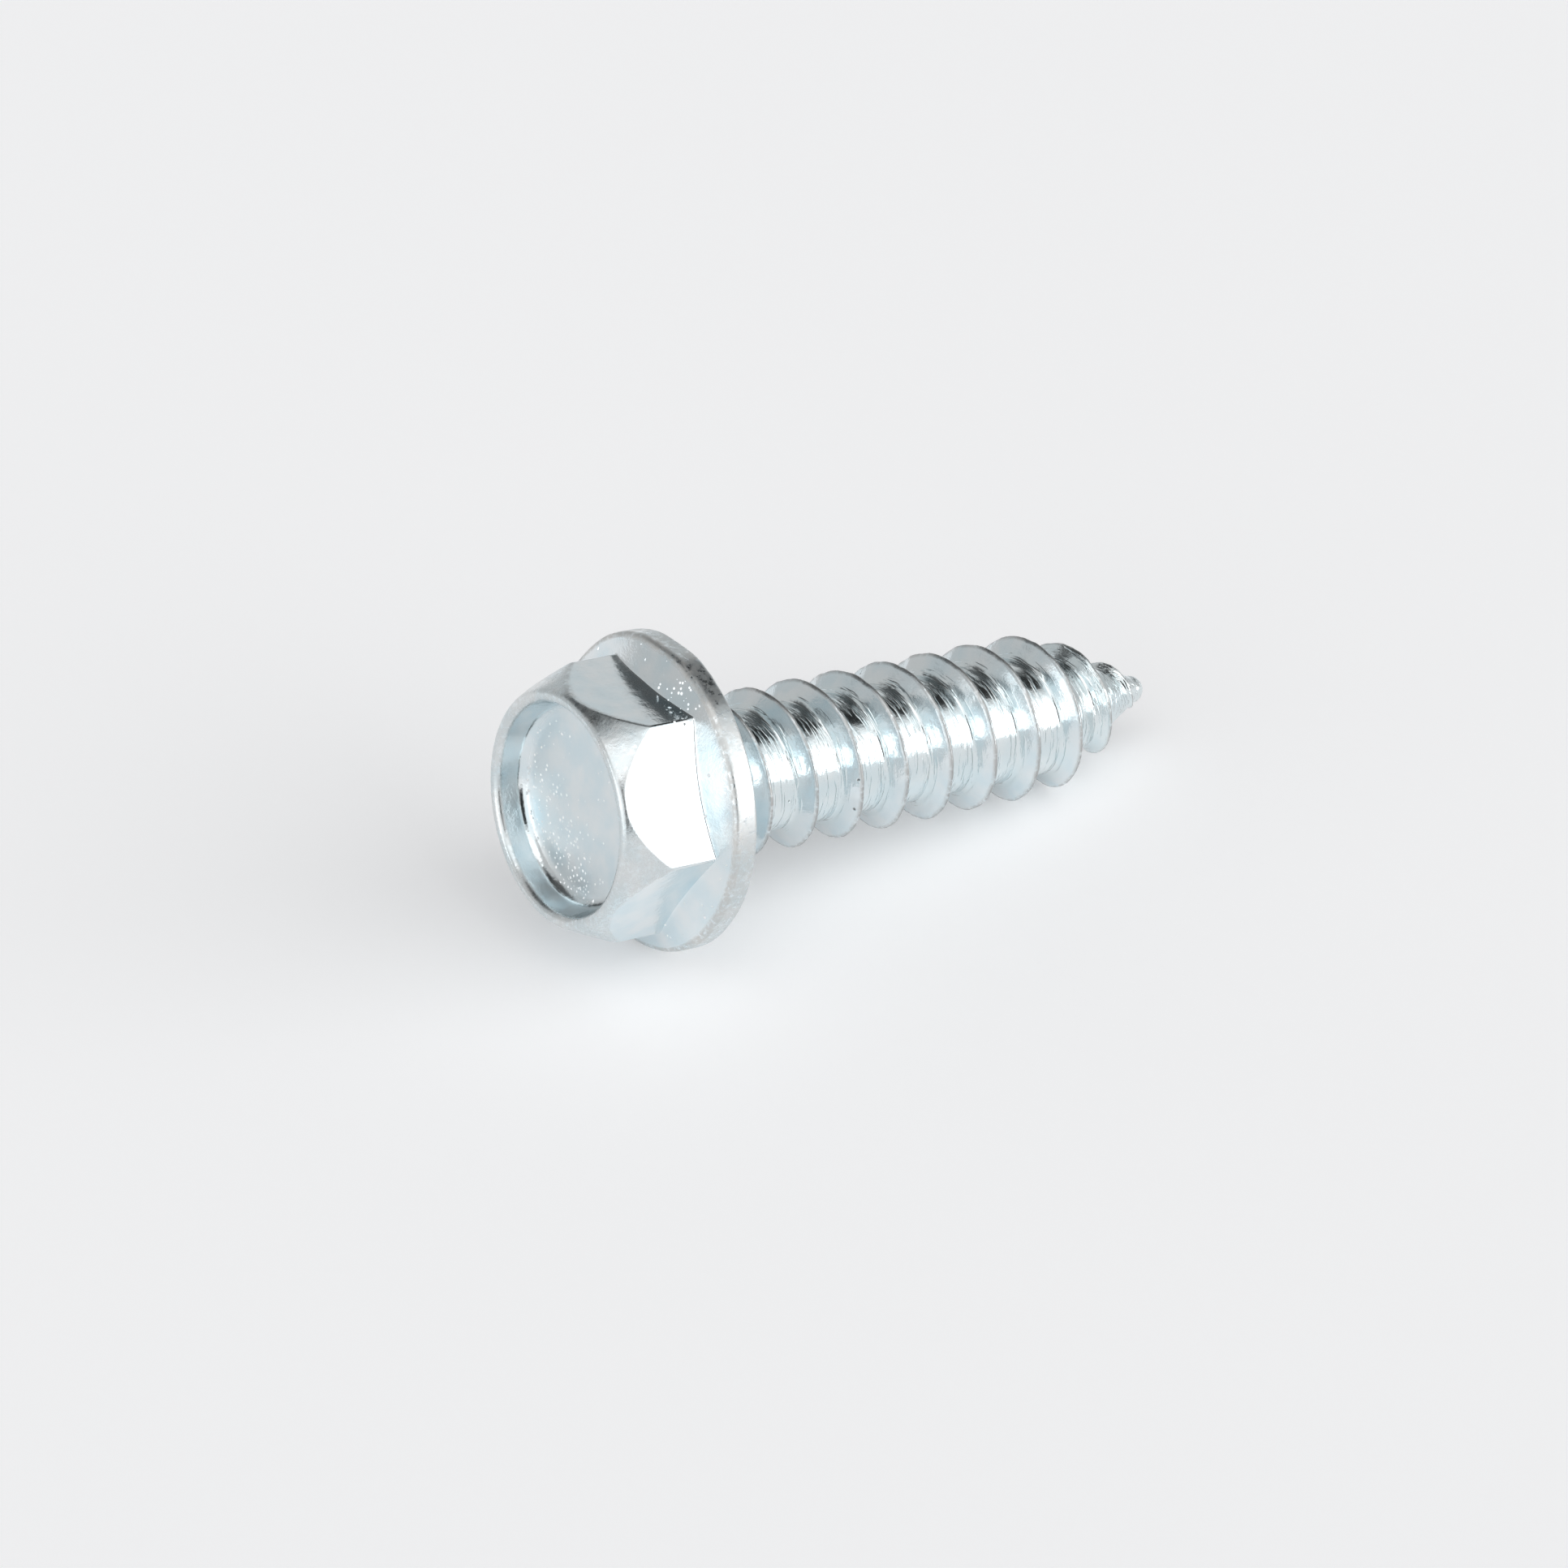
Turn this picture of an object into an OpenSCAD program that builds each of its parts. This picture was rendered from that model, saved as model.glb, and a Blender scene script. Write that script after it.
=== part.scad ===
// Self-tapping screw for sheet metal: hexagon head with a shallow recess in its top, a washer flange
// in one piece with it, a coarse single thread up to the flange and a gimlet point.
// Sizes in millimetres. It lies as it comes to rest, on the flange's edge and the thread, one flat up.

/* [Head] */
// Width of the hexagon across its flats
across_flats = 7.94; // [7.3:0.02:8.1]
// Height from the seat under the flange to the top of the rim
head_h = 4.24; // [4:0.02:4.8]
// Height above the seat at which the six corners begin to slope in
corner_h = 2.74; // [2.2:0.02:3]
// Angle of the sloping crown to the screw's axis, in degrees
crown_angle = 25; // [22:0.5:32]
// Radius of the rounded rim round the recess
rim_round = 0.24; // [0.12:0.01:0.28]

/* [Recess] */
// Depth of the recess below the rim
recess_depth = 1.1; // [0.8:0.02:1.4]
// Angle of the recess wall to the screw's axis, in degrees
recess_angle = 12; // [8:1:22]
// Radius between the recess wall and its floor
recess_round = 0.46; // [0.2:0.02:0.6]

/* [Flange] */
// Diameter of the washer flange
flange_d = 10.5; // [10.1:0.02:11.2]
// Thickness of the flange at its edge
flange_t = 0.8; // [0.6:0.02:1]
// Slope of the flange's upper side, in degrees
flange_slope = 20; // [12:1:24]
// Radius on the flange's upper edge
flange_round = 0.2; // [0.1:0.01:0.25]
// Radius on the flange's lower edge, at the seat
seat_round = 0.12; // [0.06:0.01:0.16]

/* [Thread] */
// Diameter over the thread's crest
thread_d = 5.46; // [5.2:0.02:5.6]
// Diameter of the core at the thread's root
root_d = 4.1; // [3.9:0.02:4.4]
// Distance from one turn of the thread to the next
pitch = 1.814; // [1.6:0.002:2]
// Angle between the two sides of the thread, in degrees
thread_angle = 60; // [50:1:64]
// Width of the narrow land on the thread's crest
crest_land = 0.12; // [0.08:0.01:0.2]
// Share of the thread's height taken by the soft foot of each side
foot_share = 0.16; // [0.08:0.01:0.25]
// Distance from the seat at which the crest first passes the upward flat
thread_start = 0.14; // [0:0.01:1.5]
// Radius between the core and the seat
neck_round = 0.85; // [0.8:0.01:1]

/* [Point] */
// Length from the seat to the tip
length = 19.64; // [18:0.02:22]
// Length of the tapered point
point_l = 5; // [4.4:0.1:5.8]
// How full the thread's outline is along the point: 1 is a straight cone
point_fullness = 1.5; // [1.1:0.05:1.7]
// Radius of the blunt tip
tip_round = 0.48; // [0.3:0.01:0.54]

/* [Hidden] */

zinc = [0.78, 0.82, 0.85];
// Facets of the turned shapes
round_facets = 72;
// Steps in one turn of the thread
turn_steps = 48;
// Rings of the rounded tip
tip_rings = 4;

hex_r = across_flats / 2 / cos(30);
flange_r = flange_d / 2;
crest_r = thread_d / 2;
root_r = root_d / 2;
thread_h = crest_r - root_r;
// How far the plain core reaches up into the solid head
buried = pitch + 0.3;
// How far the round under the head runs into the core
neck_sink = 0.05;
// Radius at which the seat begins
seat_r = root_r + neck_round - neck_sink;

// Rim round the recess: a circle that touches the crown's slope and the top
rim_z = rim_round - head_h;
rim_r = hex_r + ((rim_z + corner_h) * sin(crown_angle) - rim_round) / cos(crown_angle);
crown_touch = [rim_r + rim_round * cos(crown_angle), rim_z - rim_round * sin(crown_angle)];
wall_touch = [rim_r - rim_round * cos(recess_angle), rim_z - rim_round * sin(recess_angle)];

// Recess floor and the circle between it and the wall
floor_z = recess_depth - head_h;
floor_corner = wall_touch[0] - (floor_z - wall_touch[1]) * tan(recess_angle);
floor_reach = recess_round / tan(45 + recess_angle / 2);
floor_touch = [floor_corner - floor_reach, floor_z];
foot_touch = [floor_corner + floor_reach * sin(recess_angle), floor_z - floor_reach * cos(recess_angle)];
floor_centre = [floor_touch[0], floor_z - recess_round];

// Flange: a circle that touches its edge and its sloping upper side
edge_z = flange_round * (1 - sin(flange_slope)) / cos(flange_slope) - flange_t;
slope_touch = [flange_r - flange_round * (1 - sin(flange_slope)), edge_z - flange_round * cos(flange_slope)];
slope_top = slope_touch[1] - slope_touch[0] * tan(flange_slope);
// Height inside the flange at which the hexagon begins
hex_foot = -flange_t / 2;

// Thread along the axis z, from the seat at 0 to the tip
thread_end = length - tip_round;
taper_start = length - point_l;
last_turn = (thread_end + pitch / 2 - thread_start) * 360 / pitch + 180;
steps = ceil((thread_end + buried) / pitch * turn_steps);

// Share of the point that lies behind this height, from 0 where it begins to 1 at the rounded tip
function along(z) = min(1, max(0, (z - taper_start) / (thread_end - taper_start)));
function core(z) = root_r + (tip_round - root_r) * along(z);
function outline(z) = crest_r + (tip_round - crest_r) * pow(along(z), point_fullness);
function ridge(z) = max(0, outline(z) - core(z));

// One step of the thread: its direction, and the height of the ridge's middle
function turn_at(i) = last_turn - (steps - i) * 360 / turn_steps;
function middle(i) = thread_start + (turn_at(i) - 180) * pitch / 360;
// Section of one turn, from the middle of one root to the next: place across the ridge and share of its height
function across(h, k) =
    let (top = crest_land / 2, foot = top + (1 - foot_share) * h * tan(thread_angle / 2), toe = foot + 1.5 * foot_share * h)
    [-pitch / 2, -toe, -foot, -top, top, foot, toe][k];
share = [0, 0, foot_share, 1, 1, foot_share, 0];
rows = len(share);

// The last turn narrows until it closes on the ring that carries the rounded tip
function low(i) = min(thread_end, middle(i) - pitch / 2);
function high(i) = min(thread_end, middle(i) + pitch / 2);
function height(i, k) = low(i) + (across(ridge(middle(i)), k) + pitch / 2) / pitch * (high(i) - low(i));
function radius(i, k) = core(height(i, k)) + share[k] * ridge(height(i, k));
function spot(i, k) =
    [radius(i, k) * cos(turn_at(i)), radius(i, k) * sin(turn_at(i)), height(i, k)];

// Lean of the lying screw: the least at which any part of the crest reaches the ground with the flange's edge
function lean_on(x, z) = acos(-seat_round / norm([flange_r - seat_round - x, z + seat_round]))
    - atan2(z + seat_round, flange_r - seat_round - x);
lean = min([for (i = [0 : steps - 1], k = [3, 4])
    let (p = spot(i, k)) if (p[0] > 0 && p[2] > pitch) lean_on(p[0], p[2])]);

// Resting place: middle of the outline in plan at the origin, lowest point on the ground
left_x = -rim_r * sin(lean) + rim_z * cos(lean) - rim_round;
right_x = thread_end * cos(lean) + tip_round;
rest_z = (flange_r - seat_round) * cos(lean) - seat_round * sin(lean) + seat_round;

module flange_section() {
    polygon([
        [0, 0],
        [flange_r - seat_round, 0],
        [flange_r, -seat_round],
        [flange_r, edge_z],
        slope_touch,
        [0, slope_top]
    ]);
    translate([flange_r - seat_round, -seat_round]) circle(r = seat_round, $fn = round_facets);
    translate([flange_r - flange_round, edge_z]) circle(r = flange_round, $fn = round_facets);
    difference() {
        translate([0, hex_foot]) square([seat_r, neck_round - hex_foot]);
        translate([seat_r, neck_round]) circle(r = neck_round, $fn = round_facets);
    }
}

module crown_section() {
    difference() {
        union() {
            polygon([
                [0, hex_foot],
                [hex_r + (corner_h + hex_foot) * tan(crown_angle), hex_foot],
                crown_touch,
                wall_touch,
                foot_touch,
                floor_touch,
                [0, floor_z]
            ]);
            translate([rim_r, rim_z]) circle(r = rim_round, $fn = round_facets);
        }
        translate(floor_centre) circle(r = recess_round, $fn = round_facets);
    }
}

module head() {
    // Turned half a facet, so that it lies on a facet of its edge and not on a corner
    rotate([0, 0, 180 / round_facets]) rotate_extrude($fn = round_facets) flange_section();
    intersection() {
        translate([0, 0, -head_h - 1]) rotate([0, 0, 30]) cylinder(r = hex_r, h = head_h + 1 + hex_foot, $fn = 6);
        rotate_extrude($fn = round_facets) crown_section();
    }
}

// Core and thread in one skin: a strip wound along the helix, closed inside the head and at the tip
module threaded_shank() {
    closing = steps * rows;
    ring_base = closing + 1;
    apex = ring_base + tip_rings * turn_steps;
    inner = apex + 1;
    first_ring = steps - turn_steps;
    last = turn_steps - 1;

    function at(i, k) = i == steps ? closing : i * rows + k;
    function edge(i) = at(first_ring + i, rows - 1);
    function dome(n, i) = ring_base + n * turn_steps + i % turn_steps;

    strip = [for (i = [0 : steps - 1], k = [0 : rows - 1]) spot(i, k)];
    rings = [for (n = [1 : tip_rings], i = [0 : last])
        let (up = 90 * n / (tip_rings + 1), a = turn_at(first_ring + i))
        [tip_round * cos(up) * cos(a), tip_round * cos(up) * sin(a), thread_end + tip_round * sin(up)]];

    polyhedron(
        points = concat(strip, [spot(steps, 0)], rings, [[0, 0, length], [0, 0, -buried / 2]]),
        faces = concat(
            [for (i = [0 : steps - 2], k = [0 : rows - 2]) [at(i, k), at(i, k + 1), at(i + 1, k + 1), at(i + 1, k)]],
            [for (i = [0 : first_ring - 1])
                [at(i, rows - 1), at(i + turn_steps, 0), at(i + 1 + turn_steps, 0), at(i + 1, rows - 1)]],
            [for (k = [0 : rows - 2]) [at(steps - 1, k), at(steps - 1, k + 1), closing]],
            [for (i = [0 : last]) [inner, at(i, 0), at(i + 1, 0)]],
            [for (k = [0 : rows - 2]) [inner, at(0, k + 1), at(0, k)]],
            [[inner, at(turn_steps, 0), at(0, rows - 1)]],
            [for (i = [0 : last - 1]) [edge(i), dome(0, i), dome(0, i + 1), edge(i + 1)]],
            [[edge(last), dome(0, last), dome(0, 0), closing], [closing, dome(0, 0), edge(0)]],
            [for (n = [0 : tip_rings - 2], i = [0 : last]) [dome(n, i), dome(n + 1, i), dome(n + 1, i + 1), dome(n, i + 1)]],
            [for (i = [0 : last]) [dome(tip_rings - 1, i), apex, dome(tip_rings - 1, i + 1)]]
        )
    );
}

module screw() {
    color(zinc)
    translate([-(left_x + right_x) / 2, 0, rest_z])
    rotate([0, 90 + lean, 0]) {
        head();
        threaded_shank();
    }
}

screw();
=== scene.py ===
"""Zinc-plated sheet-metal screw, lying on a pale floor.

One piece: a hexagon head with a shallow recess, a washer flange, a coarse thread and a gimlet point.
"""
import math

import bmesh
import bpy
import numpy as np
from mathutils import Matrix, Vector


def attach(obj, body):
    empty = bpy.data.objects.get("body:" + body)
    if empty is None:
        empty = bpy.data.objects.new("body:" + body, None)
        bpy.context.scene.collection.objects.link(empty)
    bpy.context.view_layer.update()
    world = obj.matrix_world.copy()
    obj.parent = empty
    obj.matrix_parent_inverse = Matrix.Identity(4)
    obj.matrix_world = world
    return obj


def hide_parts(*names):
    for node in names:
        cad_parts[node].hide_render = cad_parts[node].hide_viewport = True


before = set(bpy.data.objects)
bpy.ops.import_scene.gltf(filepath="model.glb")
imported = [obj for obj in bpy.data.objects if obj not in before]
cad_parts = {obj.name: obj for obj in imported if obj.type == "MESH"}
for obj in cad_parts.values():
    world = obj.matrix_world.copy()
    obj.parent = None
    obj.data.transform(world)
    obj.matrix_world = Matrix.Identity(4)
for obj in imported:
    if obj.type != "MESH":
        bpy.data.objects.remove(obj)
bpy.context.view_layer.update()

MM = 0.001

# The screw's own sizes in millimetres, with its axis as z: seat at 0, tip at +z, head at -z
ACROSS_FLATS = 7.94
HEAD_H = 4.24
CORNER_H = 2.74
CROWN_ANGLE = math.radians(25)
RIM_ROUND = 0.24
RECESS_DEPTH = 1.1
RECESS_ANGLE = math.radians(12)
RECESS_ROUND = 0.46
FLANGE_D = 10.5
FLANGE_T = 0.8
FLANGE_SLOPE = math.radians(20)
FLANGE_ROUND = 0.2
SEAT_ROUND = 0.12
THREAD_D = 5.46
ROOT_D = 4.1
PITCH = 1.814
THREAD_ANGLE = math.radians(60)
CREST_LAND = 0.12
THREAD_START = 0.14
NECK_ROUND = 0.85
NECK_SINK = 0.05
LENGTH = 19.64
POINT_L = 5.0
POINT_FULLNESS = 1.5
TIP_ROUND = 0.48

# Edges softened by forming and plating
HEX_CORNER_ROUND = 0.13
CROWN_EDGE_ROUND = 0.42
CREASE_ROUND = 0.07
# Small dents in the flange's edge: angle about the axis, half width in degrees, and depth
FLANGE_DENTS = (
    (194, 2.5, 0.03),
    (203, 9, 0.03),
    (176, 14, 0.06),
    (222, 16, 0.03),
    (128, 16, 0.04),
    (300, 14, 0.02),
)

# Thread as rolled and worn: narrower crest, soft foot, uneven wear, shorter tip
CREST_NARROWING = 0.05
CREST_SOFTNESS = 0.015
FOOT_SOFTNESS = 0.07
NECK_SOFTNESS = 0.1
CREST_WEAR = 0.05
TIP_WEAR = 0.04
# The wear's patches: how many to the millimetre, the noise level where they begin, and how fast they deepen
WEAR_SCALE = 1.4
WEAR_FROM = 0.45
WEAR_GAIN = 4.0
# Wear of the point's core, against that of the ridge
POINT_WEAR = 0.3
# Part of the ridge's height that counts as its crest: one over this number
CREST_PART = 12.0
# How full the core is along the point: 1 is a straight cone
CORE_FULLNESS = 1.25
# How far the pinched point stands off the axis, and which way
POINT_OFFSET = 0.16
POINT_OFFSET_WAY = math.radians(152)

# How the screw lies: lean of its axis, and where the middle of its seat is
LEAN = math.radians(9.849)
SEAT_PLACE = (-7.26912, 0.0, 5.15387)
LYING = (Matrix.Translation(Vector(SEAT_PLACE) * MM)
         @ Matrix.Rotation(math.pi / 2 + LEAN, 4, "Y")
         @ Matrix.Scale(MM, 4))

# Fineness of the thread's mesh, distance at which its corners are joined, and size of the cap on the tip
STEPS_PER_TURN = 144
ROWS_PER_TURN = 36
JOIN_WITHIN = 0.002
TIP_CAP = 0.06


def add_node(tree, kind, inputs=(), **settings):
    """One node with its settings; inputs are (socket, value or another node's output)."""
    made = tree.nodes.new(kind)
    for name, value in settings.items():
        setattr(made, name, value)
    for socket, value in inputs:
        if isinstance(value, bpy.types.NodeSocket):
            tree.links.new(value, made.inputs[socket])
        else:
            made.inputs[socket].default_value = value
    return made


def calc(tree, kind, operation, *values):
    """Output of a Math node fed with numbers or sockets."""
    return add_node(tree, kind, list(enumerate(values)), operation=operation).outputs[0]


# Head

HEX_IN = ACROSS_FLATS / 2
HEX_OUT = HEX_IN / math.cos(math.pi / 6)
SEAT_R = ROOT_D / 2 + NECK_ROUND - NECK_SINK
# Most of a straight stretch that a rounded corner may take up
CORNER_ROOM = 0.8

# Places of the section's points along its straight stretches, as shares of their length
ALONG_FLOOR = (0.0, 0.15, 0.3, 0.45, 0.6, 0.75, 0.88, 0.96)
ALONG_SLOPE = (0.1, 0.35, 0.65, 0.9)
ALONG_CROWN = (0.2, 0.4, 0.6, 0.8)
ALONG_FLAT = (0.06, 0.16, 0.3, 0.45, 0.6, 0.75, 0.88, 0.96)
ALONG_EDGE = (0.1, 0.36, 0.64, 0.9)
ALONG_SEAT = (0.02, 0.2, 0.4, 0.6, 0.8, 0.96)

# Points on the section's rounded stretches
BOWL_POINTS = 11
RIM_POINTS = 17
CROWN_EDGE_POINTS = 9
CREASE_POINTS = 6
UPPER_EDGE_POINTS = 9
LOWER_EDGE_POINTS = 7

# How worn the plating is, from 0 to 1
RIM_WEAR = 0.5
CROWN_WEAR = 0.4
CROWN_EDGE_WEAR = 0.5
UPPER_EDGE_WEAR = 1.0
FLANGE_EDGE_WEAR = 0.7
LOWER_EDGE_WEAR = 0.8

# Angles within one sixth of the head, in degrees: close together at the hexagon's corners, even between them
SECTOR = [-30, -29.7, -29.4, -29.1, -28.8, -28.5, -28.1, -27.4, -26.2, -24.6]
SECTOR += [-22.5, -20, -17.5, -15, -12.5, -10, -7.5, -5, -2.5, 0]
SECTOR += [-a for a in reversed(SECTOR[1:-1])]
HEAD_ANGLES = [math.radians(60 * k + a) for k in range(6) for a in SECTOR]


def arc(centre, radius, start, end, count):
    """Points on a circle in the half section, from one direction to another."""
    angles = np.linspace(start, end, count)
    return [(centre[0] + radius * math.cos(a), centre[1] + radius * math.sin(a)) for a in angles]


def straight(start, end, shares):
    """Points inside a straight stretch, at the given shares of its length."""
    return [(start[0] + (end[0] - start[0]) * s, start[1] + (end[1] - start[1]) * s) for s in shares]


def rounded_corner(before, corner, after, radius, count):
    """Arc of the given radius that rounds the corner between two straight stretches."""
    a = np.subtract(before, corner)
    b = np.subtract(after, corner)
    room = (np.linalg.norm(a), np.linalg.norm(b))
    a = a / room[0]
    b = b / room[1]
    half = math.acos(float(np.clip(a @ b, -1, 1))) / 2
    radius = min(radius, CORNER_ROOM * min(room) * math.tan(half))
    middle = (a + b) / np.linalg.norm(a + b)
    centre = np.array(corner) + middle * radius / math.sin(half)
    first = np.array(corner) + a * radius / math.tan(half) - centre
    last = np.array(corner) + b * radius / math.tan(half) - centre
    start = math.atan2(first[1], first[0])
    sweep = (math.atan2(last[1], last[0]) - start + math.pi) % (2 * math.pi) - math.pi
    return arc(centre, radius, start, start + sweep, count)


def hexagon_reach(angle):
    """Distance from the axis to the hexagon with its softened corners; one flat faces along x."""
    off = (angle + math.pi / 6) % (math.pi / 3) - math.pi / 6
    if HEX_IN * abs(math.tan(off)) < (HEX_IN - HEX_CORNER_ROUND) * math.tan(math.pi / 6):
        return HEX_IN / math.cos(off)
    away = math.pi / 6 - abs(off)
    hub = (HEX_IN - HEX_CORNER_ROUND) / math.cos(math.pi / 6)
    return hub * math.cos(away) + math.sqrt(HEX_CORNER_ROUND ** 2 - (hub * math.sin(away)) ** 2)


def flange_reach(angle):
    """Radius of the flange at this angle, with its dents."""
    reach = FLANGE_D / 2
    for way, half, depth in FLANGE_DENTS:
        off = (math.degrees(angle) - way + 180) % 360 - 180
        if abs(off) < half:
            reach -= depth * math.cos(math.pi / 2 * off / half) ** 2
    return reach


def head_section(angle):
    """Half section of the head, from the middle of the recess to the seat: radius, height and edge wear."""
    reach = hexagon_reach(angle)
    rim_z = RIM_ROUND - HEAD_H
    rim_r = HEX_OUT + ((rim_z + CORNER_H) * math.sin(CROWN_ANGLE) - RIM_ROUND) / math.cos(CROWN_ANGLE)
    floor_z = RECESS_DEPTH - HEAD_H
    wall_touch = (rim_r - RIM_ROUND * math.cos(RECESS_ANGLE), rim_z - RIM_ROUND * math.sin(RECESS_ANGLE))
    floor_corner = (wall_touch[0] - (floor_z - wall_touch[1]) * math.tan(RECESS_ANGLE), floor_z)
    bowl = rounded_corner((0, floor_z), floor_corner, wall_touch, RECESS_ROUND, BOWL_POINTS)
    rim = arc((rim_r, rim_z), RIM_ROUND, math.pi + RECESS_ANGLE, 2 * math.pi - CROWN_ANGLE, RIM_POINTS)

    flange_r = flange_reach(angle)
    edge_z = FLANGE_ROUND * (1 - math.sin(FLANGE_SLOPE)) / math.cos(FLANGE_SLOPE) - FLANGE_T
    slope_r = flange_r - FLANGE_ROUND * (1 - math.sin(FLANGE_SLOPE))
    slope_z = edge_z - FLANGE_ROUND * math.cos(FLANGE_SLOPE)
    crown_meets = (reach, -CORNER_H - (HEX_OUT - reach) / math.tan(CROWN_ANGLE))
    foot = (reach, slope_z - (slope_r - reach) * math.tan(FLANGE_SLOPE))
    crown_edge = rounded_corner(rim[-1], crown_meets, foot, CROWN_EDGE_ROUND, CROWN_EDGE_POINTS)
    crease = rounded_corner(crown_meets, foot, (slope_r, slope_z), CREASE_ROUND, CREASE_POINTS)
    upper_edge = arc((flange_r - FLANGE_ROUND, edge_z), FLANGE_ROUND,
                     FLANGE_SLOPE - math.pi / 2, 0, UPPER_EDGE_POINTS)
    lower_edge = arc((flange_r - SEAT_ROUND, -SEAT_ROUND), SEAT_ROUND, 0, math.pi / 2, LOWER_EDGE_POINTS)

    stretches = (
        (straight((0, floor_z), bowl[0], ALONG_FLOOR), 0.0),
        (bowl, 0.0),
        (straight(bowl[-1], rim[0], ALONG_SLOPE), 0.0),
        (rim, RIM_WEAR),
        (straight(rim[-1], crown_edge[0], ALONG_CROWN), CROWN_WEAR),
        (crown_edge, CROWN_EDGE_WEAR),
        (straight(crown_edge[-1], crease[0], ALONG_FLAT), 0.0),
        (crease, 0.0),
        (straight(crease[-1], upper_edge[0], ALONG_SLOPE), 0.0),
        (upper_edge, UPPER_EDGE_WEAR),
        (straight(upper_edge[-1], lower_edge[0], ALONG_EDGE), FLANGE_EDGE_WEAR),
        (lower_edge, LOWER_EDGE_WEAR),
        (straight(lower_edge[-1], (SEAT_R, 0.0), ALONG_SEAT), 0.0),
    )
    return [(r, z, worn) for stretch, worn in stretches for r, z in stretch]


def head_mesh():
    """Corners, faces and edge wear of the head, in millimetres, open at the ring where the neck begins."""
    sections = [head_section(a) for a in HEAD_ANGLES]
    columns = len(sections)
    rows = len(sections[0])
    corners = [(0.0, 0.0, sections[0][0][1])]
    wear = [0.0]
    for row in range(1, rows):
        for angle, section in zip(HEAD_ANGLES, sections):
            r, z, worn = section[row]
            corners.append((r * math.cos(angle), r * math.sin(angle), z))
            wear.append(worn)

    def at(row, column):
        return 1 + (row - 1) * columns + column % columns

    faces = [(0, at(1, c + 1), at(1, c)) for c in range(columns)]
    for row in range(1, rows - 1):
        faces += [(at(row, c), at(row, c + 1), at(row + 1, c + 1), at(row + 1, c)) for c in range(columns)]

    # The last ring has the thread's own steps, so that the two meshes share it
    ring = len(corners)
    ring_angles = [2 * math.pi * i / STEPS_PER_TURN for i in range(STEPS_PER_TURN)]
    corners += [(SEAT_R * math.cos(a), SEAT_R * math.sin(a), 0.0) for a in ring_angles]
    wear += [0.0] * STEPS_PER_TURN

    # Triangles between the seat's outer columns and that ring, taking whichever side comes next
    outer = [a % (2 * math.pi) for a in HEAD_ANGLES]
    turn = outer.index(min(outer))
    outer_order = [at(rows - 1, turn + c) for c in range(columns + 1)]
    outer_angles = [outer[(turn + c) % columns] for c in range(columns)] + [outer[turn] + 2 * math.pi]
    i = j = 0
    while i < columns or j < STEPS_PER_TURN:
        next_outer = outer_angles[i + 1] if i < columns else math.inf
        next_inner = 2 * math.pi * (j + 1) / STEPS_PER_TURN if j < STEPS_PER_TURN else math.inf
        inner = ring + j % STEPS_PER_TURN
        if next_outer <= next_inner:
            faces.append((outer_order[i], outer_order[i + 1], inner))
            i += 1
        else:
            faces.append((outer_order[i], ring + (j + 1) % STEPS_PER_TURN, inner))
            j += 1
    return corners, faces, wear


# Threaded shank

THREAD_INPUTS = (
    ("Pitch", PITCH),
    ("Crest radius", THREAD_D / 2),
    ("Root radius", ROOT_D / 2),
    ("Crest land", CREST_LAND - CREST_NARROWING),
    ("Thread angle", THREAD_ANGLE),
    ("Thread start", THREAD_START),
    ("Neck round", NECK_ROUND),
    ("Neck sink", NECK_SINK),
    ("Neck softness", NECK_SOFTNESS),
    ("Length", LENGTH - TIP_WEAR),
    ("Point length", POINT_L - TIP_WEAR),
    ("Point fullness", POINT_FULLNESS),
    ("Core fullness", CORE_FULLNESS),
    ("Tip round", TIP_ROUND),
    ("Foot softness", FOOT_SOFTNESS),
    ("Crest softness", CREST_SOFTNESS),
    ("Crest wear", CREST_WEAR),
    ("Point offset", POINT_OFFSET),
    ("Point offset way", POINT_OFFSET_WAY),
)


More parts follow.
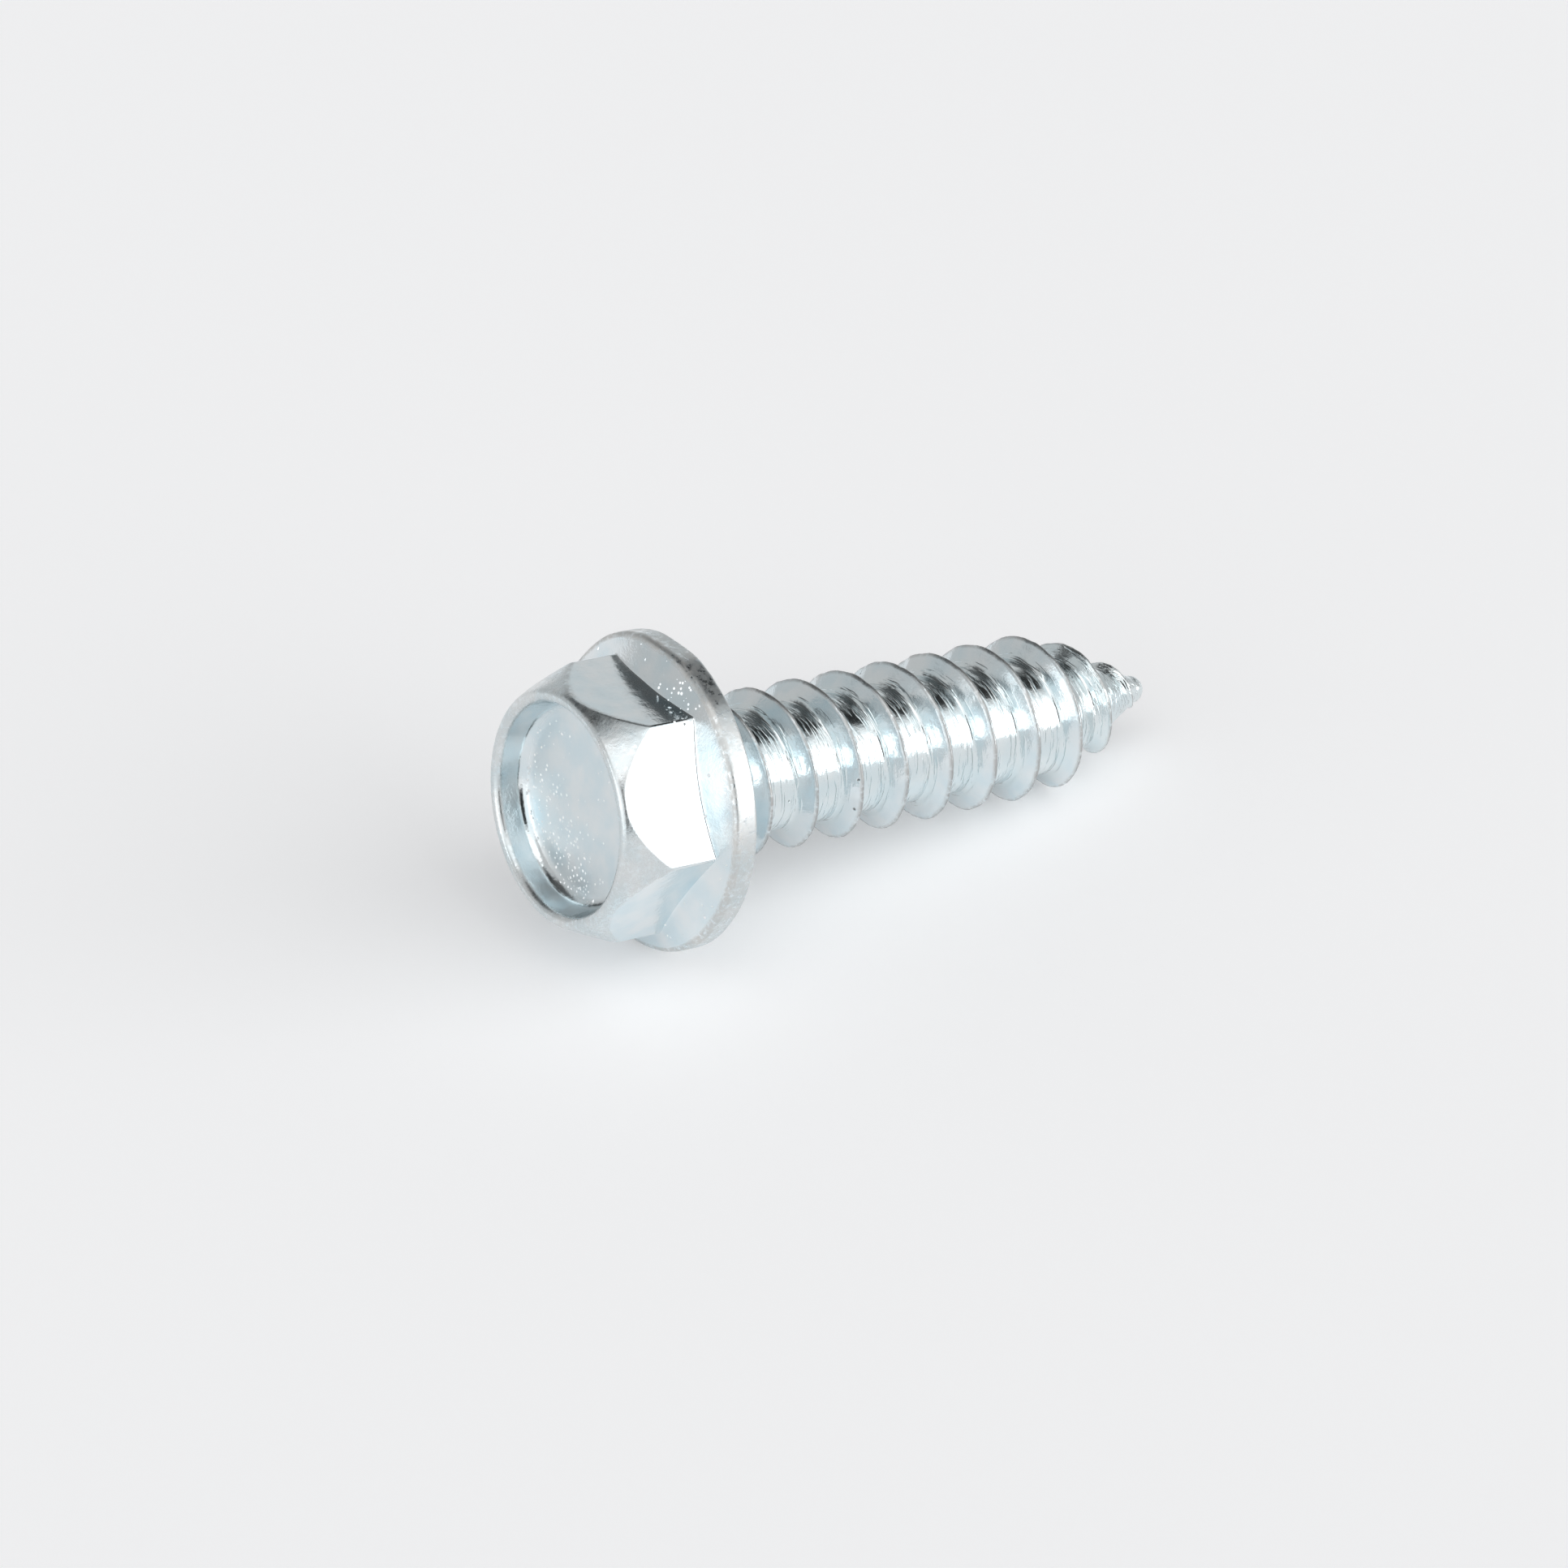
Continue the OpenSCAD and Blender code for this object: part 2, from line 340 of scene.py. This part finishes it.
def thread_tree(finish):
    """Geometry Nodes: a strip wound along the helix, from the ring at the seat to the rounded tip."""
    tree = bpy.data.node_groups.new("wound_thread", "GeometryNodeTree")
    tree.interface.new_socket("Geometry", in_out="OUTPUT", socket_type="NodeSocketGeometry")
    for name, value in THREAD_INPUTS:
        socket = tree.interface.new_socket(name, in_out="INPUT", socket_type="NodeSocketFloat")
        socket.default_value = value
    for name in ("Steps per turn", "Rows per turn", "Turns"):
        tree.interface.new_socket(name, in_out="INPUT", socket_type="NodeSocketInt")
    given = add_node(tree, "NodeGroupInput").outputs

    def m(operation, *values):
        return calc(tree, "ShaderNodeMath", operation, *values)

    # A flat strip: turns along x, one pitch across along y
    pitch = given["Pitch"]
    turns = given["Turns"]
    across = m("ADD", m("MULTIPLY", given["Steps per turn"], turns), 1)
    rows = m("ADD", given["Rows per turn"], 1)
    strip = add_node(tree, "GeometryNodeMeshGrid", [
        ("Size X", turns), ("Size Y", 1.0), ("Vertices X", across), ("Vertices Y", rows)]).outputs["Mesh"]
    position = add_node(tree, "GeometryNodeInputPosition").outputs[0]
    place = add_node(tree, "ShaderNodeSeparateXYZ", [(0, position)]).outputs
    wound = m("SUBTRACT", m("ADD", place["X"], m("MULTIPLY", turns, 0.5)), 1.0)
    crest_at = m("MULTIPLY_ADD", wound, pitch, given["Thread start"])
    tip_from = m("SUBTRACT", given["Length"], given["Tip round"])
    last = m("MULTIPLY_ADD", given["Tip round"], math.pi / 2, tip_from)
    travel = m("MINIMUM", m("MAXIMUM", m("MULTIPLY_ADD", place["Y"], pitch, crest_at), 0.0), last)

    # Core, and the outline of the crest, along the axis
    taper_from = m("SUBTRACT", given["Length"], given["Point length"])
    share = m("DIVIDE", m("SUBTRACT", travel, taper_from), m("SUBTRACT", tip_from, taper_from))
    share = m("MINIMUM", m("MAXIMUM", share, 0.0), 1.0)
    core = m("POWER", share, given["Core fullness"])
    core_drop = m("SUBTRACT", given["Tip round"], given["Root radius"])
    core = m("MULTIPLY_ADD", core_drop, core, given["Root radius"])
    full = m("POWER", share, given["Point fullness"])
    crest_drop = m("SUBTRACT", given["Tip round"], given["Crest radius"])
    outline = m("MULTIPLY_ADD", crest_drop, full, given["Crest radius"])
    ridge = m("MAXIMUM", m("SUBTRACT", outline, core), 0.0)

    # Ridge: a flat crest, two straight sides and a soft foot
    off = m("ABSOLUTE", m("SUBTRACT", travel, crest_at))
    fall = m("DIVIDE", m("SUBTRACT", off, m("MULTIPLY", given["Crest land"], 0.5)),
             m("TANGENT", m("MULTIPLY", given["Thread angle"], 0.5)))
    side = m("SUBTRACT", ridge, fall)
    shape = m("SMOOTH_MIN", side, ridge, m("MINIMUM", given["Crest softness"], m("MULTIPLY", ridge, 0.5)))
    shape = m("SMOOTH_MAX", shape, 0.0, m("MINIMUM", given["Foot softness"], m("MULTIPLY", ridge, 0.8)))

    # Uneven wear, in patches round the outline
    angle = m("MULTIPLY_ADD", wound, 2 * math.pi, math.pi)
    around = add_node(tree, "ShaderNodeCombineXYZ", [
        ("X", m("MULTIPLY", outline, m("COSINE", angle))),
        ("Y", m("MULTIPLY", outline, m("SINE", angle))),
        ("Z", travel)])
    uneven = add_node(tree, "ShaderNodeTexNoise", [
        ("Vector", around.outputs[0]), ("Scale", WEAR_SCALE), ("Detail", 2.0)])
    worn = m("MAXIMUM", m("SUBTRACT", uneven.outputs["Fac"], WEAR_FROM), 0.0)
    wearing = m("MULTIPLY", given["Crest wear"], m("ADD", shape, m("MULTIPLY", full, POINT_WEAR)))
    worn = m("MULTIPLY", m("MULTIPLY", worn, WEAR_GAIN), wearing)
    threaded = m("SUBTRACT", m("ADD", core, shape), worn)

    # Round between the core and the seat
    neck_round = given["Neck round"]
    up = m("SUBTRACT", neck_round, m("MINIMUM", travel, neck_round))
    hollow = m("SQRT", m("SUBTRACT", m("MULTIPLY", neck_round, neck_round), m("MULTIPLY", up, up)))
    past = m("MAXIMUM", m("SUBTRACT", travel, neck_round), 0.0)
    neck = m("SUBTRACT", m("ADD", given["Root radius"], neck_round), m("ADD", given["Neck sink"], hollow))
    neck = m("SUBTRACT", neck, past)
    radius = m("SMOOTH_MAX", threaded, neck, given["Neck softness"])

    # Rounded tip
    bend = m("DIVIDE", m("MAXIMUM", m("SUBTRACT", travel, tip_from), 0.0), given["Tip round"])
    height = m("MULTIPLY_ADD", given["Tip round"], m("SINE", bend), m("MINIMUM", travel, tip_from))
    radius = m("MULTIPLY", radius, m("COSINE", bend))

    # The pinched point stands a little off the axis
    aside = m("MULTIPLY", given["Point offset"], m("MULTIPLY", share, share))
    aside_x = m("MULTIPLY", aside, m("COSINE", given["Point offset way"]))
    aside_y = m("MULTIPLY", aside, m("SINE", given["Point offset way"]))
    spot = add_node(tree, "ShaderNodeCombineXYZ", [
        ("X", m("MULTIPLY_ADD", radius, m("COSINE", angle), aside_x)),
        ("Y", m("MULTIPLY_ADD", radius, m("SINE", angle), aside_y)),
        ("Z", height)])

    # The top of the ridge is kept on the mesh as the crest's wear, worked out before the strip is moved
    crest = m("DIVIDE", shape, m("MAXIMUM", ridge, 0.01))
    crest = m("MULTIPLY_ADD", crest, CREST_PART, 1 - CREST_PART)
    crest = m("MINIMUM", m("MAXIMUM", crest, 0.0), 1.0)
    kept = add_node(tree, "GeometryNodeStoreNamedAttribute", [
        ("Geometry", strip), ("Name", "edge_wear"), ("Value", crest)], data_type="FLOAT", domain="POINT")
    moved = add_node(tree, "GeometryNodeSetPosition", [
        ("Geometry", kept.outputs[0]), ("Position", spot.outputs[0])])
    joined = add_node(tree, "GeometryNodeMergeByDistance", [
        ("Geometry", moved.outputs[0]), ("Distance", JOIN_WITHIN)])
    smooth = add_node(tree, "GeometryNodeSetShadeSmooth", [("Geometry", joined.outputs[0])])
    real = add_node(tree, "GeometryNodeRealizeInstances", [("Geometry", smooth.outputs[0])])
    done = add_node(tree, "GeometryNodeSetMaterial", [("Geometry", real.outputs[0]), ("Material", finish)])
    add_node(tree, "NodeGroupOutput", [("Geometry", done.outputs[0])])
    return tree


def thread_mesh(finish):
    """Plain mesh of the threaded shank, in millimetres, open at the ring where the neck begins."""
    holder = bpy.data.objects.new("thread_maker", bpy.data.meshes.new("thread_maker"))
    bpy.context.scene.collection.objects.link(holder)
    maker = holder.modifiers.new("wound_thread", "NODES")
    tree = thread_tree(finish)
    maker.node_group = tree
    travel_end = LENGTH - TIP_WEAR - TIP_ROUND + TIP_ROUND * math.pi / 2
    counts = {
        "Steps per turn": STEPS_PER_TURN,
        "Rows per turn": ROWS_PER_TURN,
        "Turns": 1 + math.ceil((travel_end + PITCH / 2 - THREAD_START) / PITCH),
    }
    for item in tree.interface.items_tree:
        if item.item_type == "SOCKET" and item.in_out == "INPUT":
            maker[item.identifier] = counts.get(item.name, item.default_value)
    shown = holder.evaluated_get(bpy.context.evaluated_depsgraph_get())
    mesh = bpy.data.meshes.new_from_object(shown)
    holder.modifiers.remove(maker)
    bpy.data.objects.remove(holder)
    return mesh


def screw_piece(finish):
    """Head and shank in one closed skin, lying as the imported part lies."""
    shank = thread_mesh(finish)
    corners, faces, wear = head_mesh()
    head = bpy.data.meshes.new("head")
    head.from_pydata(corners, [], faces)
    skin = bmesh.new()
    skin.from_mesh(shank)
    shank_corners = len(skin.verts)
    skin.from_mesh(head)
    edge_wear = skin.verts.layers.float["edge_wear"]
    skin.verts.ensure_lookup_table()
    for place, worn in enumerate(wear):
        skin.verts[shank_corners + place][edge_wear] = worn

    # Join the two at the ring they share
    ring = [v for v in skin.verts
            if abs(v.co.z) < JOIN_WITHIN and abs(v.co.xy.length - SEAT_R) < JOIN_WITHIN]
    bmesh.ops.remove_doubles(skin, verts=ring, dist=JOIN_WITHIN)

    # Close the tip with a small cap in place of the strip's crowded end
    tip = Vector((
        POINT_OFFSET * math.cos(POINT_OFFSET_WAY),
        POINT_OFFSET * math.sin(POINT_OFFSET_WAY),
        LENGTH - TIP_WEAR))
    crowded = [v for v in skin.verts if (v.co - tip).length < TIP_CAP]
    bmesh.ops.delete(skin, geom=crowded, context="VERTS")
    cap = bmesh.ops.holes_fill(skin, edges=[e for e in skin.edges if e.is_boundary], sides=0)["faces"]
    bmesh.ops.poke(skin, faces=cap)

    bmesh.ops.recalc_face_normals(skin, faces=skin.faces)
    bmesh.ops.transform(skin, matrix=LYING, verts=skin.verts)
    mesh = bpy.data.meshes.new("screw_skin")
    skin.to_mesh(mesh)
    skin.free()
    bpy.data.meshes.remove(head)
    bpy.data.meshes.remove(shank)
    mesh.shade_smooth()
    mesh.materials.append(finish)
    piece = bpy.data.objects.new("zinc_screw", mesh)
    bpy.context.scene.collection.objects.link(piece)
    return piece


# Finish

# Places on the screw, as soft steps from none to full, by radius or height in millimetres
RECESS_FLOOR_Z = RECESS_DEPTH - HEAD_H
WITHIN_RECESS = (3.45, 3.25)
BELOW_RIM = (-2.2, -2.8)
RECESS_FLOOR = (RECESS_FLOOR_Z - 0.12, RECESS_FLOOR_Z - 0.03)
FLANGE_TOP = (-1.3, -1.15)
ABOVE_SEAT = (0.0, -0.2)
INSIDE_FLANGE_EDGE = (5.05, 4.95)
SHANK = (0.1, 0.5)
THREAD_ROOT = (2.4, 2.15)
# Way to the recess's lower left, along the screw's own x and y, and how far out the crystals, painted white
# as glints, crowd there
LOWER_LEFT_WAY = (0.77, 0.64)
LOWER_LEFT = (0.4, 2.6)
# Spot of painted glints on the flange beside the upward flat, where white crystals crowd: its middle, and its
# reach
SPARKLING_SPOT = (-4.5, -1.6, -0.98)
SPARKLING_REACH = (1.3, 0.4)

# Noises of the plating: patches to the millimetre, detail, and roughness of the detail
CLOUD = (0.9, 3, 0.5)
BLOTCH = (2.6, 3, 0.6)
GRAIN = (11, 3, 0.65)
WEAR_PATCHES = (5, 4, 0.65)
DRAWN_LINES = (1.0, 2, 0.5)
# Levels of these noises between which haze, thicker crystals, worn patches and drawn lines come in
HAZE_SHOWS = (0.3, 0.7)
CRYSTALS_THICKEN = (0.42, 0.72)
WEAR_SHOWS = (0.28, 0.55)
DRAWN_SHOWS = (0.5, 0.64)

# Share of the cells that hold a crystal painted white as a glint: thin and thick patches, lower left of the
# recess, spot of painted glints
CRYSTALS_THIN = 0.04
CRYSTALS_THICK = 0.25
CRYSTALS_LOWER_LEFT = 0.9
CRYSTALS_SPARKLING = 0.5
# Crystal cells to the millimetre, the largest crystal against its cell, and the level where its facet begins
CRYSTAL_SCALE = 7.0
CRYSTAL_SIZE = 0.5
FACET_FROM = 0.05
# Tilt of the crystals' facets: spread, and the least in each direction
FACET_SPREAD = (0.5, 0.5, 0.5)
FACET_TILT = (-0.03, 0.2, -0.25)
# Pit cells to the millimetre, share of them that hold a pit, and the largest pit against its cell
PIT_SCALE = 1.7
PIT_SHARE = 0.12
PIT_SIZE = 0.16
# Drawn lines: close together across the thread, long along it
DRAWN_ACROSS = 7
DRAWN_ALONG = 1.8

# Heights of the relief, in millimetres
BLOTCH_H = 0.012
GRAIN_H = 0.0025
PIT_DEPTH = 0.03
DRAWN_H = 0.015

# Colours of the plating, with a painted shade tint for the thread's root and painted glint white for the
# crystals
SILVER = (0.79, 0.835, 0.85, 1)
BLUE_HAZE = (0.69, 0.79, 0.83, 1)
# Painted shade tint for the thread's root
ROOT_SHADE_TINT = (0.76, 0.84, 0.84, 1)
WORN_EDGE = (0.5, 0.46, 0.42, 1)
WORN_CREST = (0.2, 0.2, 0.2, 1)
# Painted glint colour of the crystal specks
PAINTED_GLINT_WHITE = (1, 1, 1, 1)
PIT_DARK = (0.08, 0.08, 0.08, 1)
# How strongly each lies over the one before
ROOT_SHADE_TINTED = 0.3
EDGE_TINTED = 0.5
CREST_TINTED = 0.5
PIT_TINTED = 0.8

# Roughness of the bright plating, and what the places and the relief add to it
BRIGHT = 0.06
ROUGH_BLOTCH = 0.08
ROUGH_GRAIN = 0.1
ROUGH_FLOOR = 0.25
ROUGH_CRYSTAL = 0.25
ROUGH_WORN = 0.32


def zinc_finish():
    """Bright zinc, passivated blue, with grain, soft dents, crystals painted white as glints, pits, drawn
    lines, worn edges and a painted shade tint in the thread's root.
    """
    mat = bpy.data.materials.new("bright_zinc")
    mat.use_nodes = True
    tree = mat.node_tree
    shader = tree.nodes["Principled BSDF"]

    def m(operation, *values):
        return calc(tree, "ShaderNodeMath", operation, *values)

    def step(value, low, high, at_low=0.0, at_high=1.0):
        """Soft step between two values."""
        return add_node(tree, "ShaderNodeMapRange", [
            ("Value", value), ("From Min", low), ("From Max", high), ("To Min", at_low), ("To Max", at_high)],
            interpolation_type="SMOOTHSTEP").outputs["Result"]

    def noise(at, scale, detail, rough):
        return add_node(tree, "ShaderNodeTexNoise", [
            ("Vector", at), ("Scale", scale), ("Detail", detail), ("Roughness", rough)]).outputs["Fac"]

    def cells(at, scale):
        return add_node(tree, "ShaderNodeTexVoronoi", [("Vector", at), ("Scale", scale)]).outputs

    def specks(at, scale, share, size):
        """Round specks in some of the cells: share of cells that have one, and largest size in cells."""
        cell = cells(at, scale)
        lot = add_node(tree, "ShaderNodeSeparateColor", [("Color", cell["Color"])]).outputs
        wide = m("MULTIPLY_ADD", lot["Green"], 0.7 * size, 0.3 * size)
        speck = step(m("DIVIDE", cell["Distance"], wide), 1.0, 0.15)
        return m("MULTIPLY", m("LESS_THAN", lot["Red"], share), speck)

    def facets(at, scale):
        """Height of small flat facets, most of them tilted the same way."""
        cell = cells(at, scale)
        tilt = calc(tree, "ShaderNodeVectorMath", "MULTIPLY_ADD", cell["Color"], FACET_SPREAD, FACET_TILT)
        inside = calc(tree, "ShaderNodeVectorMath", "SUBTRACT", at, cell["Position"])
        return add_node(tree, "ShaderNodeVectorMath", [(0, tilt), (1, inside)],
                        operation="DOT_PRODUCT").outputs["Value"]

    def tinted(factor, under, over):
        """Colour laid over another by the factor."""
        mix = add_node(tree, "ShaderNodeMix", [(0, factor), (6, under), (7, over)], data_type="RGBA")
        return mix.outputs[2]

    # The screw's own frame, in millimetres
    own = add_node(tree, "ShaderNodeMapping", [
        ("Vector", add_node(tree, "ShaderNodeTexCoord").outputs["Object"]),
        ("Location", Vector(SEAT_PLACE) * MM),
        ("Rotation", (0, math.pi / 2 + LEAN, 0)),
        ("Scale", (MM, MM, MM))], vector_type="TEXTURE").outputs[0]
    part = add_node(tree, "ShaderNodeSeparateXYZ", [(0, own)]).outputs
    x, y, z = part["X"], part["Y"], part["Z"]
    radius = m("SQRT", m("MULTIPLY_ADD", x, x, m("MULTIPLY", y, y)))
    turn = m("ARCTAN2", m("MULTIPLY", y, -1), m("MULTIPLY", x, -1))
    on_shank = step(z, *SHANK)
    in_recess = m("MULTIPLY", step(radius, *WITHIN_RECESS), step(z, *BELOW_RIM))
    on_floor = m("MULTIPLY", in_recess, step(z, *RECESS_FLOOR))
    in_root = m("MULTIPLY", on_shank, step(radius, *THREAD_ROOT))

    # Haze, soft dents and grain of the plated surface
    cloud = noise(own, *CLOUD)
    blotch = noise(own, *BLOTCH)
    grain = noise(own, *GRAIN)

    # Crystals, painted white as glints: crowded on the lower left of the recess floor and in one spot of the
    # flange, thinner elsewhere; their tilted facets and roughness are relief
    to_lower_left = m("MULTIPLY_ADD", x, LOWER_LEFT_WAY[0], m("MULTIPLY", y, LOWER_LEFT_WAY[1]))
    low_left = step(to_lower_left, *LOWER_LEFT)
    on_flange = m("MULTIPLY", step(z, *FLANGE_TOP), step(z, *ABOVE_SEAT))
    open_places = m("MAXIMUM", on_floor, on_flange)
    crowd = m("MULTIPLY", step(cloud, *CRYSTALS_THICKEN, CRYSTALS_THIN, CRYSTALS_THICK), open_places)
    crowd = m("MULTIPLY_ADD", m("MULTIPLY", on_floor, low_left), CRYSTALS_LOWER_LEFT, crowd)
    from_spot = add_node(tree, "ShaderNodeVectorMath", [(0, own), (1, SPARKLING_SPOT)],
                         operation="DISTANCE").outputs["Value"]
    crowd = m("MAXIMUM", crowd, step(from_spot, *SPARKLING_REACH, 0.0, CRYSTALS_SPARKLING))
    crowd = m("MULTIPLY", crowd, step(radius, *INSIDE_FLANGE_EDGE))
    crystals_and_painted_glints = specks(own, CRYSTAL_SCALE, crowd, CRYSTAL_SIZE)
    glitter = m("MULTIPLY", facets(own, CRYSTAL_SCALE), m("GREATER_THAN", crystals_and_painted_glints, FACET_FROM))

    # Pits, and lines drawn along the thread's root by the rolling dies
    pits = m("MULTIPLY", specks(own, PIT_SCALE, PIT_SHARE, PIT_SIZE), on_shank)
    lead = m("MULTIPLY_ADD", turn, -PITCH / (2 * math.pi), z)
    swept = add_node(tree, "ShaderNodeCombineXYZ", [
        ("X", m("MULTIPLY", radius, DRAWN_ACROSS)),
        ("Y", m("MULTIPLY", lead, DRAWN_ACROSS)),
        ("Z", m("MULTIPLY", turn, DRAWN_ALONG))]).outputs[0]
    drawn = m("MULTIPLY", step(noise(swept, *DRAWN_LINES), *DRAWN_SHOWS), in_root)

    height = m("MULTIPLY", blotch, BLOTCH_H)
    height = m("MULTIPLY_ADD", grain, GRAIN_H, height)
    height = m("ADD", glitter, height)
    height = m("MULTIPLY_ADD", pits, -PIT_DEPTH, height)
    height = m("MULTIPLY_ADD", drawn, DRAWN_H, height)
    bump = add_node(tree, "ShaderNodeBump", [("Height", height), ("Strength", 1.0), ("Distance", MM)])
    tree.links.new(bump.outputs[0], shader.inputs["Normal"])

    # Colour: silver with a blue haze, greener in the root as painted shade, brownish on worn edges, dark on
    # crests and in pits, white on crystals as painted glints
    worn = add_node(tree, "ShaderNodeAttribute", attribute_name="edge_wear").outputs["Fac"]
    worn = m("MULTIPLY", worn, step(noise(own, *WEAR_PATCHES), *WEAR_SHOWS))
    worn_crest = m("MULTIPLY", worn, on_shank)
    colour = tinted(step(cloud, *HAZE_SHOWS), SILVER, BLUE_HAZE)
    # Painted shade: the thread's root is tinted teal-green, as if lying in shade
    colour = tinted(m("MULTIPLY", in_root, ROOT_SHADE_TINTED), colour, ROOT_SHADE_TINT)
    colour = tinted(m("MULTIPLY", worn, EDGE_TINTED), colour, WORN_EDGE)
    colour = tinted(m("MULTIPLY", worn_crest, CREST_TINTED), colour, WORN_CREST)
    # Painted glints: the crystal specks are painted white
    colour = tinted(crystals_and_painted_glints, colour, PAINTED_GLINT_WHITE)
    colour = tinted(m("MULTIPLY", pits, PIT_TINTED), colour, PIT_DARK)
    tree.links.new(colour, shader.inputs["Base Color"])
    shader.inputs["Metallic"].default_value = 1.0

    rough = m("MULTIPLY_ADD", grain, ROUGH_GRAIN, m("MULTIPLY_ADD", blotch, ROUGH_BLOTCH, BRIGHT))
    rough = m("MULTIPLY_ADD", on_floor, ROUGH_FLOOR, rough)
    rough = m("MULTIPLY_ADD", crystals_and_painted_glints, ROUGH_CRYSTAL, rough)
    rough = m("MULTIPLY_ADD", worn, ROUGH_WORN, rough)
    tree.links.new(rough, shader.inputs["Roughness"])
    return mat


# Stage

FLOOR_HALF = 1.0
FLOOR_COLOUR = (0.86, 0.863, 0.872, 1)
FLOOR_GLOW = (0.985, 0.988, 1.0, 1)
# How far the floor is lifted towards white where it is seen
FLOOR_LIFT = 0.21

# Camera: its turn about the vertical, its rise, and the frame's middle seen from it, in millimetres
CAMERA_TURN = math.radians(-34.181)
CAMERA_RISE = math.radians(33.859)
CAMERA_OFFSET = (2.154, 2.145, 216.267)
FOCAL_PIXELS = 8000
FRAME_PIXELS = 1932
SENSOR_WIDTH = 36
CLIP_NEAR = 0.005
CLIP_FAR = 10

# Brightness of the studio's plain walls
STUDIO_WALL = 0.57
# Its bright and dark areas, each laid over those before: compass from straight behind the screw, positive to
# the right, as middle and half width in degrees, height above the floor in the same way, softness of the edge
# in degrees, and brightness
STUDIO_AREAS = (
    ("back wall", 2, 16, 20, 9, 6, 0.7),
    ("dark upper wall", -12, 74, 48, 16, 7, 0.1),
    ("dark strip on the right", 36, 32, 45, 9, 5, 0.02),
    ("dark ceiling at the back", -55, 45, 70, 10, 5, 0.05),
    ("right wall above the box", 108, 30, 55, 22, 10, 1.1),
    ("wall behind the camera", 180, 46, 30, 45, 10, 1.15),
    ("left front box", -127, 18, 4, 22, 6, 1.8),
    ("right box", 110, 32, 10, 22, 8, 2.7),
    ("ceiling light behind the camera", 180, 55, 64, 14, 6, 1.5),
    ("dark patch by the camera", 167, 15, 26, 20, 4, 0.02),
)


def add_floor():
    """Pale seamless floor: lifted to near white for the camera and in mirror images, keeping the shadow."""
    mesh = bpy.data.meshes.new("floor")
    corners = [(x * FLOOR_HALF, y * FLOOR_HALF, 0) for x, y in ((-1, -1), (1, -1), (1, 1), (-1, 1))]
    mesh.from_pydata(corners, [], [(0, 1, 2, 3)])
    mat = bpy.data.materials.new("pale_floor")
    mat.use_nodes = True
    tree = mat.node_tree
    shader = tree.nodes["Principled BSDF"]
    shader.inputs["Base Color"].default_value = FLOOR_COLOUR
    shader.inputs["Roughness"].default_value = 0.9
    shader.inputs["Specular IOR Level"].default_value = 0.0
    shader.inputs["Emission Color"].default_value = FLOOR_GLOW
    path = add_node(tree, "ShaderNodeLightPath").outputs
    seen = calc(tree, "ShaderNodeMath", "MAXIMUM", path["Is Camera Ray"], path["Is Glossy Ray"])
    seen = calc(tree, "ShaderNodeMath", "MAXIMUM", seen, path["Is Transmission Ray"])
    lift = calc(tree, "ShaderNodeMath", "MULTIPLY", seen, FLOOR_LIFT)
    tree.links.new(lift, shader.inputs["Emission Strength"])
    mesh.materials.append(mat)
    floor = bpy.data.objects.new("floor", mesh)
    bpy.context.scene.collection.objects.link(floor)


def add_camera():
    """Camera at the photograph's viewing angle."""
    turn = CAMERA_TURN
    rise = CAMERA_RISE
    right = Vector((math.cos(turn), math.sin(turn), 0))
    look = Vector((-math.sin(turn) * math.cos(rise), math.cos(turn) * math.cos(rise), -math.sin(rise)))
    down = look.cross(right)
    offset = Vector(CAMERA_OFFSET) * MM
    place = -(right * offset.x + down * offset.y + look * offset.z)
    lens = bpy.data.cameras.new("camera")
    lens.lens = FOCAL_PIXELS / FRAME_PIXELS * SENSOR_WIDTH
    lens.sensor_width = SENSOR_WIDTH
    lens.clip_start = CLIP_NEAR
    lens.clip_end = CLIP_FAR
    cam = bpy.data.objects.new("camera", lens)
    cam.matrix_world = Matrix((
        (right.x, -down.x, -look.x, place.x),
        (right.y, -down.y, -look.y, place.y),
        (right.z, -down.z, -look.z, place.z),
        (0, 0, 0, 1)))
    bpy.context.scene.collection.objects.link(cam)
    bpy.context.scene.camera = cam


def add_light():
    """Studio walls of even grey, with the bright and dark areas laid over them one after the other."""
    world = bpy.data.worlds.new("studio")
    bpy.context.scene.world = world
    world.use_nodes = True
    tree = world.node_tree

    def m(operation, *values):
        return calc(tree, "ShaderNodeMath", operation, *values)

    def within(angle, half, soft):
        """One inside the half width, none outside it, with a soft edge."""
        edges = [("From Min", math.radians(half + soft)), ("From Max", math.radians(half - soft))]
        return add_node(tree, "ShaderNodeMapRange", [("Value", m("ABSOLUTE", angle)), *edges],
                        interpolation_type="SMOOTHSTEP").outputs[0]

    aim = add_node(tree, "ShaderNodeMapping", [
        ("Vector", add_node(tree, "ShaderNodeTexCoord").outputs["Generated"]),
        ("Rotation", (0, 0, -CAMERA_TURN))])
    part = add_node(tree, "ShaderNodeSeparateXYZ", [(0, aim.outputs[0])]).outputs
    compass = m("ARCTAN2", part["X"], part["Y"])
    height = m("ARCSINE", part["Z"])

    bright = STUDIO_WALL
    for label, way, half_way, rise, half_rise, soft, level in STUDIO_AREAS:
        aside = m("WRAP", m("SUBTRACT", compass, math.radians(way)), math.pi, -math.pi)
        above = m("SUBTRACT", height, math.radians(rise))
        inside = m("MULTIPLY", within(aside, half_way, soft), within(above, half_rise, soft))
        mix = add_node(tree, "ShaderNodeMix", [(0, inside), (2, bright), (3, level)],
                       data_type="FLOAT", label=label)
        bright = mix.outputs[0]
    background = tree.nodes["Background"]
    tree.links.new(bright, background.inputs["Strength"])
    background.inputs["Color"].default_value = (1, 1, 1, 1)


bpy.context.scene.view_settings.view_transform = "Standard"
add_camera()
add_floor()
add_light()
zinc = zinc_finish()
screw = screw_piece(zinc)
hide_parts("screw")
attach(screw, "root")
